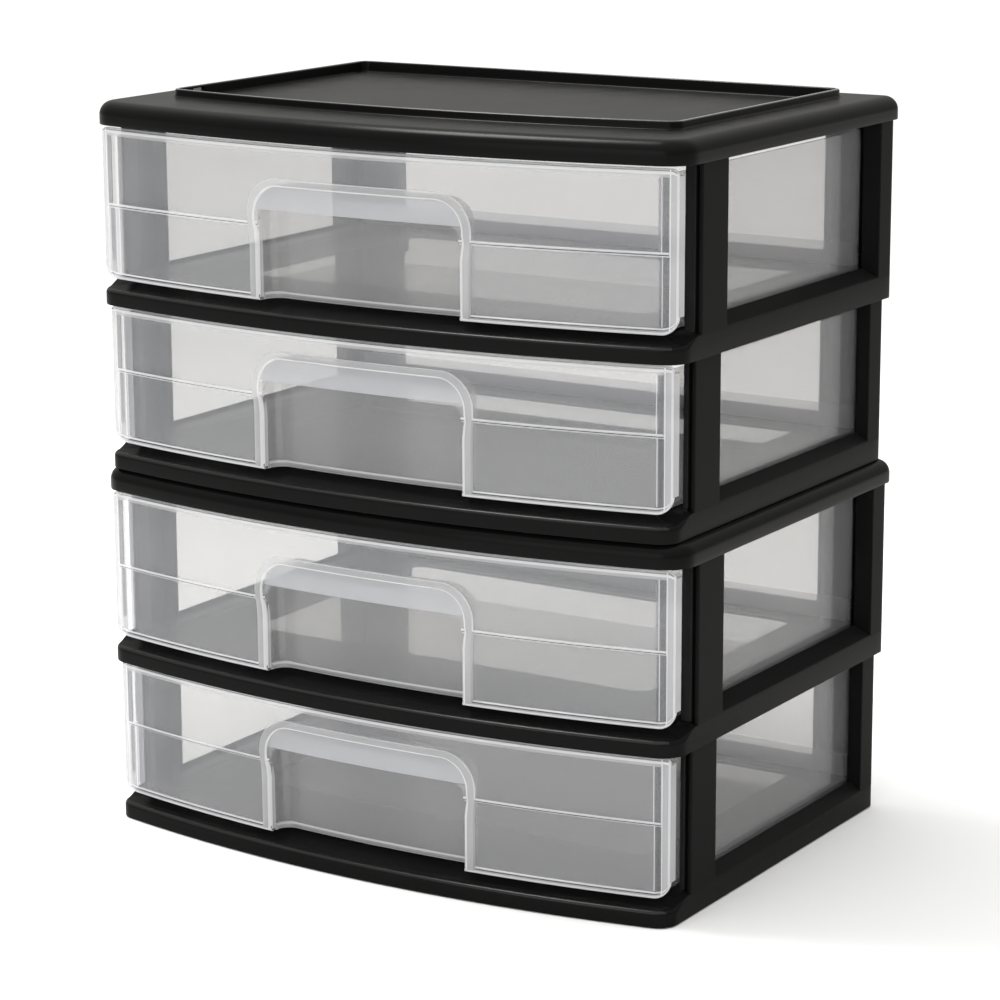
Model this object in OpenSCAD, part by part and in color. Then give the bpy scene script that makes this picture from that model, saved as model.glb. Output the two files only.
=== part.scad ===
// Plastic drawer tower: two stacked two-drawer units.
// Each unit is two open tiers (shelf, two side frames, back frame), two
// clear pull-out drawers and a lid whose rim locates the unit stacked on it.
// The drawer fronts, lids and shelf lips share one bowed front curve.

/* [Overall] */
// Width over the lid
lid_w = 365; // [330:1:420]
// Depth over the lid, bowed front included
lid_d = 265; // [250:1:290]
// How far the middle of the front stands ahead of its corners
bow = 21; // [14:1:28]
// Wall of the black mouldings
wall = 2.2; // [1.8:0.1:2.6]

/* [Tiers] */
// Height of a lower tier, from shelf foot to the next shelf foot
low_h = 90.5; // [84:0.5:110]
// Height of an upper tier, from shelf foot to the lid's skirt
high_h = 97.5; // [90:0.5:120]
// Half width of the lower tier
low_hw = 177; // [176.4:0.2:177.2]
// Half width of the upper tier
high_hw = 180.2; // [179.8:0.1:180.2]
// Height of the side rail of a shelf
rail_h = 12.5; // [11.5:0.1:13]
// Height of the front lip of a shelf
lip_h = 9; // [8:0.1:10]
// Half width of the opening in a shelf
hole_hw = 128; // [100:1:150]
// Side face of a front post, along the depth
post_d = 26.5; // [22:0.5:32]
// Side face of a rear post, along the depth
rear_d = 20.5; // [18:0.5:24]

/* [Lid] */
// Height of the lid's skirt and deck
lid_h = 12.5; // [11:0.5:16]
// Radius of the lid's front corners in plan
lid_r = 17; // [12:1:24]
// Roundover of the lid's top edge
lid_edge = 5.5; // [3:0.5:5.5]
// Height of the rim above the deck
rim_h = 4.4; // [3:0.2:5.4]
// Wall of the rim
rim_t = 2.4; // [2:0.1:3]
// Half width over the rim
rim_hw = 157; // [140:1:162]
// Drop of the tray floor below the deck
tray_drop = 2; // [1:0.1:2.6]

/* [Drawers] */
// Half width of an upper drawer's front
face_hw = 177.5; // [174:0.5:178]
// Half width of a lower drawer's front
low_face_hw = 175; // [172:0.5:175.5]
// Wall of a drawer
tub_t = 1.8; // [1.4:0.1:2.2]
// Half width over a drawer's tub
tub_hw = 168; // [160:0.5:168]
// Height of the crease across a drawer's front, above its shelf foot
crease_z = 54; // [48:1:58]
// Half width of the finger pocket
pocket_hw = 62; // [50:1:64]
// Depth of the finger pocket behind the front
pocket_d = 13; // [12:0.5:14]

/* [Hidden] */
$fn = 96;
eps = 0.01;
black = [0.09, 0.09, 0.09];
clear = [0.80, 0.82, 0.84, 0.55];

hw0 = lid_w/2;
front_y = -lid_d/2;
back_y = lid_d/2;
R0 = (hw0*hw0 + bow*bow)/(2*bow);   // radius of the bowed front
cyc = front_y + R0;                 // its centre, behind the object
high_yr = back_y - wall - 0.1;      // rear of the upper tier, inside the lid's skirt
low_yr = high_yr - wall - 0.2;      // rear of the lower tier, inside the next shelf's skirt
low_R = R0 - 1;
shelf_t = 2.2;
back_gap = 139;                     // half width of the gap in the rear skirt
post_y = -89;                       // front edge of the side frames
step_y = -93;                       // where a shelf steps up behind its lip
in_x = 169.5;                       // inner edge of the posts
lip_t = 2.2;
plate_z = rail_h - shelf_t;
unit_h = low_h + high_h + lid_h;
stack_gap = 0.2;
pitch = unit_h + stack_gap;
face_in = 4;                        // drawer front behind the lid's front
face_t = 2.2;
face_z = 14;
floor_t = 2;
tub_back = 119;
lip_low = 62;                       // foot of the hanging grip lip
grip_z = 73.2;                      // ceiling of the finger pocket

function arcp(cx, cy, r, a0, a1, n) =
    [for (i = [0:n]) [cx + r*cos(a0 + (a1 - a0)*i/n), cy + r*sin(a0 + (a1 - a0)*i/n)]];

// Outline with the bowed front: half width hw, front radius R, rear line yr,
// front corners rf, rear corners rr, all drawn in by e
function outline(hw, R, yr, rf, rr, e = 0) =
    let (w = hw - e, r1 = max(rf - e, 0.6), r2 = max(rr - e, 0.6), q = R - e,
         cx = w - r1, cy = cyc - sqrt((q - r1)*(q - r1) - cx*cx),
         th = asin(cx/(q - r1)))
    concat(arcp(0, cyc, q, -90 - th, -90 + th, 36),
           [for (p = arcp(cx, cy, r1, -90 + th, 0, 8)) if (p[0] > q*sin(th) + 0.05) p],
           arcp(w - r2, yr - e - r2, r2, 0, 90, 6),
           arcp(-(w - r2), yr - e - r2, r2, 90, 180, 6),
           [for (p = arcp(-cx, cy, r1, -180, -90 - th, 8)) if (p[0] < -q*sin(th) - 0.05) p]);

function round_rect(x0, x1, y0, y1, r) =
    concat(arcp(x1 - r, y0 + r, r, -90, 0, 5), arcp(x1 - r, y1 - r, r, 0, 90, 5),
           arcp(x0 + r, y1 - r, r, 90, 180, 5), arcp(x0 + r, y0 + r, r, 180, 270, 5));

module box(x0, x1, y0, y1, z0, z1)
    translate([x0, y0, z0]) cube([x1 - x0, y1 - y0, z1 - z0]);

module prism(pts, z0, z1)
    translate([0, 0, z0]) linear_extrude(z1 - z0) polygon(pts);

module ring(hw, R, yr, rf, rr, t, z0, z1)
    difference() {
        prism(outline(hw, R, yr, rf, rr), z0, z1);
        prism(outline(hw, R, yr, rf, rr, t), z0 - 1, z1 + 1);
    }

// Solid slab with a rounded top edge
module rounded_slab(h, re)
    hull() {
        prism(outline(hw0, R0, back_y, lid_r, 10), 0, h - re);
        for (a = [22.5 : 22.5 : 90])
            translate([0, 0, h - re + re*sin(a) - eps])
                linear_extrude(eps)
                    polygon(outline(hw0, R0, back_y, lid_r, 10, re*(1 - cos(a))));
    }

rim_R = R0 - 43;
rim_yr = back_y - 22;

module lid() color(black) {
    difference() {
        rounded_slab(lid_h, lid_edge);
        prism(outline(hw0, R0, back_y, lid_r, 10, wall), -1, lid_h - wall);
        prism(outline(rim_hw, rim_R, rim_yr, 7, 7, rim_t/2), -2, lid_h + 5);
    }
    // tray floor
    prism(outline(rim_hw, rim_R, rim_yr, 7, 7, rim_t/2), lid_h - tray_drop - wall, lid_h - tray_drop);
    // rim, with the slot through its left wall
    difference() {
        ring(rim_hw, rim_R, rim_yr, 7, 7, rim_t, lid_h - tray_drop - wall, lid_h + rim_h);
        box(-rim_hw - 2, -rim_hw + rim_t + 2, -57, -47, lid_h + rim_h - 3.6, lid_h + rim_h - 1.4);
    }
}

// One shelf: open ring with a skirt, side rails and a lower front lip
module shelf(hw, R, yr) color(black) {
    rf = lid_r - (hw0 - hw);
    // skirt, side and rear rails; the skirt leaves a gap at the rear
    difference() {
        union() {
            ring(hw, R, yr, rf, 8, wall, 0, lip_h);
            intersection() {
                ring(hw, R, yr, rf, 8, wall, lip_h - 1, rail_h);
                box(-200, 200, step_y, 200, 0, 20);
            }
        }
        translate([0, 200, 0]) rotate([90, 0, 0])
            linear_extrude(200 - yr + wall + 1)
                polygon(concat([[back_gap, -1]], arcp(back_gap - 4, plate_z - 4, 4, 0, 90, 6),
                               arcp(-back_gap + 4, plate_z - 4, 4, 90, 180, 6), [[-back_gap, -1]]));
    }
    // lip plate
    intersection() {
        prism(outline(hw, R, yr, rf, 8, wall/2), lip_h - lip_t, lip_h);
        box(-200, 200, -200, step_y + 1, 0, 20);
    }
    // riser behind the lip
    box(-hw + wall/2, hw - wall/2, step_y, step_y + 2, lip_h - lip_t, rail_h);
    // shelf plate with its opening
    difference() {
        intersection() {
            prism(outline(hw, R, yr, rf, 8, wall/2), plate_z, rail_h);
            box(-200, 200, step_y + 1, 200, 0, 20);
        }
        prism(round_rect(-hole_hw, hole_hw, -51, 118, 8), 0, 20);
    }
    // runner ribs that carry the drawer
    for (s = [-1, 1])
        box(s*160 - 1.5, s*160 + 1.5, -84, 112, rail_h - 0.5, face_z - 0.3);
}

// Right-hand side frame; the left one is its mirror image
module side_frame(hw, yr, top) color(black) {
    x1 = hw;
    // side face of the front post
    box(x1 - 2, x1, post_y, post_y + post_d, rail_h, top);
    // front face, set apart from the side face by a full-height groove
    box(in_x, x1 - 4.5, post_y + 1, post_y + 3, rail_h, top);
    box(x1 - 6.5, x1 - 4.5, post_y + 1, post_y + 6, rail_h, top);
    box(x1 - 6.5, x1 - 1, post_y + 4, post_y + 6, rail_h, top);
    // flange at the window
    box(in_x, x1 - 1, post_y + post_d - 2, post_y + post_d, rail_h, top);
    // sloping sill
    translate([0, post_y + post_d - 2, 0]) rotate([90, 0, 0]) mirror([0, 0, 1])
        linear_extrude(yr - rear_d + 2 - (post_y + post_d - 2))
            polygon([[x1, rail_h], [x1, rail_h + 0.6], [in_x, rail_h + 5.2], [in_x, rail_h],
                     [in_x + 2, rail_h], [in_x + 2, rail_h + 2], [x1 - 3.5, rail_h]]);
    // rear post: flange facing the drawer's flank, side face and rounded corner
    box(in_x, x1 - 1, yr - rear_d, yr - rear_d + 2, rail_h, top);
    box(x1 - 2, x1, yr - rear_d, yr - 8, rail_h, top);
    difference() {
        translate([x1 - 8, yr - 8, rail_h]) cylinder(r = 8, h = top - rail_h);
        translate([x1 - 8, yr - 8, rail_h - 1]) cylinder(r = 6, h = top - rail_h + 2);
        box(x1 - 20, x1 - 8, yr - 20, yr + 5, 0, top + 5);
        box(x1 - 20, x1 + 5, yr - 20, yr - 8, 0, top + 5);
    }
}

// Back frame: two stiles and a foot rail, open above
module back_frame(hw, yr, top) color(black) {
    x1 = hw - 8.1;
    for (s = [-1, 1]) {
        box(min(s*140, s*x1), max(s*140, s*x1), yr - 2, yr, rail_h, top);
        box(s*141 - 1, s*141 + 1, yr - 7, yr - 1, rail_h, top);
        box(s*(x1 - 1) - 1, s*(x1 - 1) + 1, yr - 7, yr - 1, rail_h, top);
    }
    box(-x1, x1, yr - 2, yr, rail_h, rail_h + 10);
    box(-141, 141, yr - 7, yr - 1, rail_h + 8, rail_h + 10);
}

module annulus(ro, ri, z0, z1)
    translate([0, cyc, z0]) difference() {
        cylinder(r = ro, h = z1 - z0, $fn = 720);
        translate([0, 0, -1]) cylinder(r = ri, h = z1 - z0 + 2, $fn = 720);
    }

// Upright outline seen from the front, made a solid through the depth
module front_prism(pts)
    translate([0, -60, 0]) rotate([90, 0, 0]) linear_extrude(90) polygon(pts);

function pocket_pts(w, z1, r) =
    concat([[w, 0], [w, z1 - r]], arcp(w - r, z1 - r, r, 0, 90, 6),
           arcp(-w + r, z1 - r, r, 90, 180, 6), [[-w, z1 - r], [-w, 0]]);

module band_area()
    difference() {
        front_prism(concat([[69, face_z + 1.5], [69, crease_z]], arcp(49.5, 59, 19.5, 0, 90, 8),
                           arcp(-49.5, 59, 19.5, 90, 180, 8), [[-69, crease_z], [-69, face_z + 1.5]]));
        front_prism(concat([[63.5, 0], [63.5, crease_z]], arcp(48, 58.7, 15.5, 0, 90, 8),
                           arcp(-48, 58.7, 15.5, 90, 180, 8), [[-63.5, crease_z], [-63.5, 0]]));
    }

// Drawer: bowed front with a crease, raised grip band and finger pocket,
// and an open tub behind it
module drawer(fhw, dR, top) color(clear) {
    fR = R0 - face_in - dR;
    lowR = fR - 1.4;
    back_R = fR - pocket_d;
    tub_top = top - 4;
    // front
    difference() {
        intersection() {
            union() {
                annulus(fR, fR - face_t, crease_z - 1, top);
                annulus(lowR, lowR - face_t, face_z, crease_z + 1);
                annulus(fR, lowR - face_t, crease_z - 1, crease_z + 1);
            }
            front_prism(concat(arcp(fhw - 9, face_z + 9, 9, -90, 0, 6), arcp(fhw - 4, top - 4, 4, 0, 90, 4),
                               arcp(-fhw + 4, top - 4, 4, 90, 180, 4), arcp(-fhw + 9, face_z + 9, 9, 180, 270, 6)));
        }
        front_prism(pocket_pts(pocket_hw, lip_low, 7));
    }
    // raised band round the grip
    intersection() {
        annulus(fR + 1, lowR - 1, face_z + 1.5, crease_z + 30);
        band_area();
    }
    // return edges of the front
    for (s = [-1, 1])
        intersection() {
            annulus(fR - 0.5, fR - 6, face_z + 9, top - 4);
            box(s*(fhw - 1) - 1, s*(fhw - 1) + 1, -140, -60, 0, top);
        }
    // finger pocket: back, sides and ceiling
    difference() {
        intersection() {
            annulus(lowR - 0.5, back_R - tub_t, face_z, grip_z + tub_t);
            front_prism(pocket_pts(pocket_hw + tub_t, grip_z + tub_t, 15 + tub_t));
        }
        intersection() {
            annulus(R0 + 5, back_R, 0, grip_z + 1);
            front_prism(pocket_pts(pocket_hw, grip_z, 15));
        }
    }
    // tub: floor, sides and back
    difference() {
        intersection() {
            prism(round_rect(-tub_hw, tub_hw, -180, tub_back, 12), face_z, face_z + floor_t);
            translate([0, cyc, 0]) cylinder(r = lowR - 0.5, h = 50, $fn = 720);
        }
        intersection() {
            annulus(R0, back_R - tub_t/2, 0, 60);
            box(-pocket_hw - tub_t/2, pocket_hw + tub_t/2, -140, -60, 0, 60);
        }
    }
    difference() {
        intersection() {
            difference() {
                prism(round_rect(-tub_hw, tub_hw, -180, tub_back, 12), face_z, tub_top);
                prism(round_rect(-tub_hw + tub_t, tub_hw - tub_t, -190, tub_back - tub_t, 12 - tub_t), 0, top + 9);
            }
            translate([0, cyc, 0]) cylinder(r = lowR - 0.5, h = top, $fn = 720);
        }
    }
    // the sides reach the upper half of the front
    for (s = [-1, 1])
        intersection() {
            annulus(fR - 0.5, lowR - 3, crease_z, tub_top);
            box(s*(tub_hw - tub_t/2) - tub_t/2, s*(tub_hw - tub_t/2) + tub_t/2, -140, -60, 0, top);
        }
}

module low_shelf() shelf(low_hw, low_R, low_yr);
module high_shelf() shelf(high_hw, R0, high_yr);
low_top = low_h + plate_z;              // posts reach the underside of the next shelf
high_top = high_h + lid_h - wall;       // posts reach the underside of the deck
low_drawer_top = low_h - 1.3;
high_drawer_top = high_h - 1.3;

z2 = low_h;
z3 = pitch;
z4 = pitch + low_h;

module low_side(s) mirror([s < 0 ? 1 : 0, 0, 0]) side_frame(low_hw, low_yr, low_top);
module high_side(s) mirror([s < 0 ? 1 : 0, 0, 0]) side_frame(high_hw, high_yr, high_top);

low_shelf();  // shelf_1
low_side(-1);  // left_side_frame_1
low_side(1);  // right_side_frame_1
back_frame(low_hw, low_yr, low_top);  // back_frame_1
drawer(low_face_hw, 1, low_drawer_top);  // drawer_1
translate([0, 0, z2]) high_shelf();  // shelf_2
translate([0, 0, z2]) high_side(-1);  // left_side_frame_2
translate([0, 0, z2]) high_side(1);  // right_side_frame_2
translate([0, 0, z2]) back_frame(high_hw, high_yr, high_top);  // back_frame_2
translate([0, 0, z2]) drawer(face_hw, 0, high_drawer_top);  // drawer_2
translate([0, 0, z2 + high_h]) lid();  // lower_lid
translate([0, 0, z3]) low_shelf();  // shelf_3
translate([0, 0, z3]) low_side(-1);  // left_side_frame_3
translate([0, 0, z3]) low_side(1);  // right_side_frame_3
translate([0, 0, z3]) back_frame(low_hw, low_yr, low_top);  // back_frame_3
translate([0, 0, z3]) drawer(low_face_hw, 1, low_drawer_top);  // drawer_3
translate([0, 0, z4]) high_shelf();  // shelf_4
translate([0, 0, z4]) high_side(-1);  // left_side_frame_4
translate([0, 0, z4]) high_side(1);  // right_side_frame_4
translate([0, 0, z4]) back_frame(high_hw, high_yr, high_top);  // back_frame_4
translate([0, 0, z4]) drawer(face_hw, 0, high_drawer_top);  // drawer_4
translate([0, 0, z4 + high_h]) lid();  // upper_lid
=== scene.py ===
import math

import bmesh
import bpy
import numpy as np
from mathutils import Euler, Matrix, Vector


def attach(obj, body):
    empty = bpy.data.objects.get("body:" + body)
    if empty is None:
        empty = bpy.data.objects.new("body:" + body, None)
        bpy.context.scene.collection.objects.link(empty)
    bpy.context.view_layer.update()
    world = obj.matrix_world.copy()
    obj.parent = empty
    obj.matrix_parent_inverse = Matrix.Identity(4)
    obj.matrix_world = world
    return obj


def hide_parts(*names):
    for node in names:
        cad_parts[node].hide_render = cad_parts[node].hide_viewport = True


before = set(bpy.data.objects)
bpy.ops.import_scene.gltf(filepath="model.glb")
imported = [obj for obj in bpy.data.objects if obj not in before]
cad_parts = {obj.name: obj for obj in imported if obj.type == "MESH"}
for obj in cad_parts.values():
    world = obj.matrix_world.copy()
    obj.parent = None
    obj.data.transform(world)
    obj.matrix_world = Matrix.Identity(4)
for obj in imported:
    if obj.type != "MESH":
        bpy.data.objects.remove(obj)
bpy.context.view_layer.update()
scene = bpy.context.scene

# ---------------------------------------------------------------- dimensions
# Millimetres, in the frame of the CAD: +Z up, -Y to the drawer fronts.
HW0, BOW = 182.5, 21.0
FRONT_Y, BACK_Y = -132.5, 132.5
R0 = (HW0 * HW0 + BOW * BOW) / (2 * BOW)
CYC = FRONT_Y + R0
TIER_Z = [0.0, 90.5, 200.7, 291.2]
LID_Z = [188.0, 388.7]
HIGH = dict(hw=180.2, R=R0, yr=130.2, top=107.8)
LOW = dict(hw=177.0, R=R0 - 1, yr=127.8, top=100.8)
RAIL_H, LIP_H, PLATE_T = 12.5, 9.0, 2.2
POST_Y, POST_D, REAR_D, IN_X = -89.0, 26.5, 20.5, 169.5
LID_H, LID_RE, WALL = 12.5, 7.4, 2.2
RIM_HW, RIM_R, RIM_YR, RIM_T, RIM_H, TRAY = 157.0, R0 - 43, BACK_Y - 22, 2.4, 4.4, 2.0


# ---------------------------------------------------------------- mesh tools
def smooth(t):
    t = np.clip(t, 0.0, 1.0)
    return t * t * (3 - 2 * t)


NF, NC, NRC, NB = 84, 12, 10, 40
SIDE_T = np.concatenate([np.linspace(0, 0.10, 9), np.linspace(0.10, 1, 33)[1:]])


def outline(hw, R, yr, rf, rr, e=0.0):
    """Closed plan loop with the bowed front, counter-clockwise from the front's left end."""
    w, r1, r2, q = hw - e, max(rf - e, 0.6), max(rr - e, 0.6), R - e
    cx = w - r1
    cy = CYC - math.sqrt((q - r1) ** 2 - cx * cx)
    th = math.asin(cx / (q - r1))
    p = [(q * math.sin(t), CYC - q * math.cos(t)) for t in np.linspace(-th, th, NF + 1)]
    for t in np.linspace(-math.pi / 2 + th, 0, NC + 1)[1:]:
        p.append((cx + r1 * math.cos(t), cy + r1 * math.sin(t)))
    y1 = yr - e - r2
    p += [(w, cy + (y1 - cy) * t) for t in SIDE_T[1:]]
    for t in np.linspace(0, math.pi / 2, NRC + 1)[1:]:
        p.append((w - r2 + r2 * math.cos(t), y1 + r2 * math.sin(t)))
    p += [(x, yr - e) for x in np.linspace(w - r2, -(w - r2), NB + 1)[1:]]
    for t in np.linspace(math.pi / 2, math.pi, NRC + 1)[1:]:
        p.append((-(w - r2) + r2 * math.cos(t), y1 + r2 * math.sin(t)))
    p += [(-w, cy + (y1 - cy) * t) for t in SIDE_T[::-1][1:]]
    for t in np.linspace(math.pi, 1.5 * math.pi - th, NC + 1)[1:-1]:
        p.append((-cx + r1 * math.cos(t), cy + r1 * math.sin(t)))
    return np.array(p)


def round_rect(x0, x1, y0, y1, r):
    """A rounded rectangle with the same point order and count as outline()."""
    p = [(x, y0) for x in np.linspace(x0 + r, x1 - r, NF + 1)]

    def corner(cx, cy, a, n):
        return [(cx + r * math.cos(t), cy + r * math.sin(t)) for t in np.linspace(a, a + math.pi / 2, n + 1)[1:]]

    p += corner(x1 - r, y0 + r, -math.pi / 2, NC)
    p += [(x1, y0 + r + (y1 - y0 - 2 * r) * t) for t in SIDE_T[1:]]
    p += corner(x1 - r, y1 - r, 0, NRC)
    p += [(x, y1) for x in np.linspace(x1 - r, x0 + r, NB + 1)[1:]]
    p += corner(x0 + r, y1 - r, math.pi / 2, NRC)
    p += [(x0, y0 + r + (y1 - y0 - 2 * r) * t) for t in SIDE_T[::-1][1:]]
    p += corner(x0 + r, y0 + r, math.pi, NC)[:-1]
    return np.array(p)


def at(loop, z):
    z = np.broadcast_to(np.asarray(z, float), (len(loop),))
    return np.column_stack([loop, z])


class Build:
    """Vertices and faces in millimetres. Each face has a material number."""

    def __init__(self):
        self.v, self.f, self.m, self.n = [], [], [], 0

    def add(self, pts):
        i = self.n
        self.v.append(np.asarray(pts, float))
        self.n += len(pts)
        return i

    def loft(self, loops, cap0=False, cap1=False, wrap=False, closed=True, mat=0):
        idx = [self.add(l) for l in loops]
        n = len(loops[0])
        pairs = list(zip(idx[:-1], idx[1:])) + ([(idx[-1], idx[0])] if wrap else [])
        for k, (a, b) in enumerate(pairs):
            for i in range(n if closed else n - 1):
                j = (i + 1) % n
                self.f.append((a + i, a + j, b + j, b + i))
                self.m.append(mat(k, i) if callable(mat) else mat)
        for on, f in ((cap0, tuple(idx[0] + i for i in range(n))[::-1]), (cap1, tuple(idx[-1] + i for i in range(n)))):
            if on:
                self.f.append(f)
                self.m.append(mat(-1, 0) if callable(mat) else mat)
        return self

    def mesh(self, name, angle=32.0, dz=0.0):
        co = np.concatenate(self.v)
        co = (co + np.array([0, 0, dz])) * 0.001
        me = bpy.data.meshes.new(name)
        me.from_pydata(co.tolist(), [], self.f)
        me.polygons.foreach_set("material_index", self.m)
        return finish_mesh(me, angle)


def finish_mesh(me, angle=32.0, weld=1e-6):
    bm = bmesh.new()
    bm.from_mesh(me)
    bmesh.ops.remove_doubles(bm, verts=bm.verts, dist=weld)
    bmesh.ops.dissolve_degenerate(bm, edges=bm.edges, dist=weld)
    bmesh.ops.recalc_face_normals(bm, faces=bm.faces)
    lim = math.radians(angle)
    for f in bm.faces:
        f.smooth = True
        f.material_index = min(f.material_index, 9)
    for e in bm.edges:
        e.smooth = len(e.link_faces) == 2 and e.calc_face_angle(0) < lim
    bm.to_mesh(me)
    bm.free()
    me.update()
    return me


def new_object(name, me):
    o = bpy.data.objects.new(name, me)
    scene.collection.objects.link(o)
    return o


def temp(build_or_mesh, name="tmp"):
    me = build_or_mesh if isinstance(build_or_mesh, bpy.types.Mesh) else build_or_mesh.mesh(name)
    if not me.materials:
        for k in range(10):
            me.materials.append(None)
    return new_object(name, me)


def boolean(base, others, op, angle=32.0):
    """Applies booleans of the objects in others to base, removes them, and leaves base with the result."""
    for o in others:
        m = base.modifiers.new("b", "BOOLEAN")
        m.operation, m.solver, m.object = op, "EXACT", o
    dg = bpy.context.evaluated_depsgraph_get()
    me = bpy.data.meshes.new_from_object(base.evaluated_get(dg))
    base.modifiers.clear()
    old = base.data
    base.data = me
    bpy.data.meshes.remove(old)
    for o in others:
        d = o.data
        bpy.data.objects.remove(o)
        bpy.data.meshes.remove(d)
    finish_mesh(base.data, angle)
    return base


def open_edges(me):
    bm = bmesh.new()
    bm.from_mesh(me)
    n = sum(len(e.link_faces) != 2 for e in bm.edges)
    bm.free()
    return n


def union_each(base, parts, angle=32.0):
    """Joins the parts one at a time. A join that loses the base or leaves an open edge is made again with the part moved a few micrometres."""
    for o in parts:
        keep, part = base.data.copy(), o.data.copy()
        for k in range(1, 8):
            boolean(base, [o], "UNION", angle)
            if len(base.data.polygons) > 0.7 * len(keep.polygons) and not open_edges(base.data):
                break
            old, base.data = base.data, keep.copy()
            bpy.data.meshes.remove(old)
            o = temp(part.copy())
            o.location = (0.000011 * k, 0.000007 * k, 0.000013 * k)
            bpy.context.view_layer.update()
        else:
            raise RuntimeError("a join failed")
        bpy.data.meshes.remove(keep)
        bpy.data.meshes.remove(part)
    return base


def flat_faces(obj):
    """Weights the normals by face area, so that a large flat face beside a small rounding stays flat."""
    m = obj.modifiers.new("w", "WEIGHTED_NORMAL")
    m.mode, m.weight, m.keep_sharp = "FACE_AREA", 50, True
    dg = bpy.context.evaluated_depsgraph_get()
    me = bpy.data.meshes.new_from_object(obj.evaluated_get(dg))
    obj.modifiers.clear()
    old, obj.data = obj.data, me
    bpy.data.meshes.remove(old)


def fillet(points, radii, n=5):
    """Plan polygon with its corners rounded."""
    pts = [np.array(p, float) for p in points]
    out = []
    for i, p in enumerate(pts):
        r = radii[i] if hasattr(radii, "__len__") else radii
        if r <= 0:
            out.append(p)
            continue
        a, b = pts[i - 1] - p, pts[(i + 1) % len(pts)] - p
        la, lb = np.linalg.norm(a), np.linalg.norm(b)
        a, b = a / la, b / lb
        half = math.acos(max(-1, min(1, float(a @ b)))) / 2
        d = min(r / math.tan(half), 0.49 * la, 0.49 * lb)
        rr = d * math.tan(half)
        c = p + (a + b) / np.linalg.norm(a + b) * (rr / math.sin(half))
        s, e = p + a * d - c, p + b * d - c
        a0, a1 = math.atan2(s[1], s[0]), math.atan2(e[1], e[0])
        while a1 - a0 > math.pi:
            a1 -= 2 * math.pi
        while a1 - a0 < -math.pi:
            a1 += 2 * math.pi
        for t in np.linspace(a0, a1, n + 1):
            out.append(c + rr * np.array([math.cos(t), math.sin(t)]))
    return np.array(out)


def prism(poly, z0, z1, mat=0):
    poly = np.asarray(poly, float)
    area = 0.5 * np.sum(poly[:, 0] * np.roll(poly[:, 1], -1) - np.roll(poly[:, 0], -1) * poly[:, 1])
    if area < 0:
        poly = poly[::-1]
    return Build().loft([at(poly, z0), at(poly, z1)], True, True, mat=mat)


def box(x0, x1, y0, y1, z0, z1, r=0.0):
    return prism(fillet([(x0, y0), (x1, y0), (x1, y1), (x0, y1)], r), z0, z1)


def mirror_x(b):
    m = Build()
    m.v = [v * np.array([-1, 1, 1]) for v in b.v]
    m.f = [f[::-1] for f in b.f]
    m.m = list(b.m)
    m.n = b.n
    return m


def xz_prism(poly, y0, y1, mat=0):
    """Polygon in x and z made a solid from y0 to y1."""
    poly = np.asarray(poly, float)
    b = Build()
    b.loft([np.column_stack([poly[:, 0], np.full(len(poly), y), poly[:, 1]]) for y in (y0, y1)], True, True, mat=mat)
    return b


# ---------------------------------------------------------------- materials
def node_material(name):
    m = bpy.data.materials.new(name)
    m.use_nodes = True
    nt = m.node_tree
    nt.nodes.clear()
    out = nt.nodes.new("ShaderNodeOutputMaterial")
    return m, nt, out


def noise(nt, coord, scale, detail=2.0, rough=0.5):
    n = nt.nodes.new("ShaderNodeTexNoise")
    n.inputs["Scale"].default_value = scale
    n.inputs["Detail"].default_value = detail
    n.inputs["Roughness"].default_value = rough
    nt.links.new(coord, n.inputs["Vector"])
    return n.outputs["Fac"]


def sheen(nt, head_on, slant, exponent):
    """Share of gloss: head_on when faced, rising towards the edge of sight; the same on both faces of a wall."""
    face = nt.nodes.new("ShaderNodeLayerWeight")
    face.inputs["Blend"].default_value = 0.5
    power = nt.nodes.new("ShaderNodeMath")
    power.operation = "POWER"
    power.inputs[1].default_value = exponent
    nt.links.new(face.outputs["Facing"], power.inputs[0])
    amount = nt.nodes.new("ShaderNodeMath")
    amount.operation = "MULTIPLY_ADD"
    amount.use_clamp = True
    amount.inputs[1].default_value = slant
    amount.inputs[2].default_value = head_on
    nt.links.new(power.outputs[0], amount.inputs[0])
    return amount.outputs[0]


def map_range(nt, value, a, b, c=0.0, d=1.0):
    n = nt.nodes.new("ShaderNodeMapRange")
    n.inputs["From Min"].default_value, n.inputs["From Max"].default_value = c, d
    n.inputs["To Min"].default_value, n.inputs["To Max"].default_value = a, b
    nt.links.new(value, n.inputs["Value"])
    return n.outputs["Result"]


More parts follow.
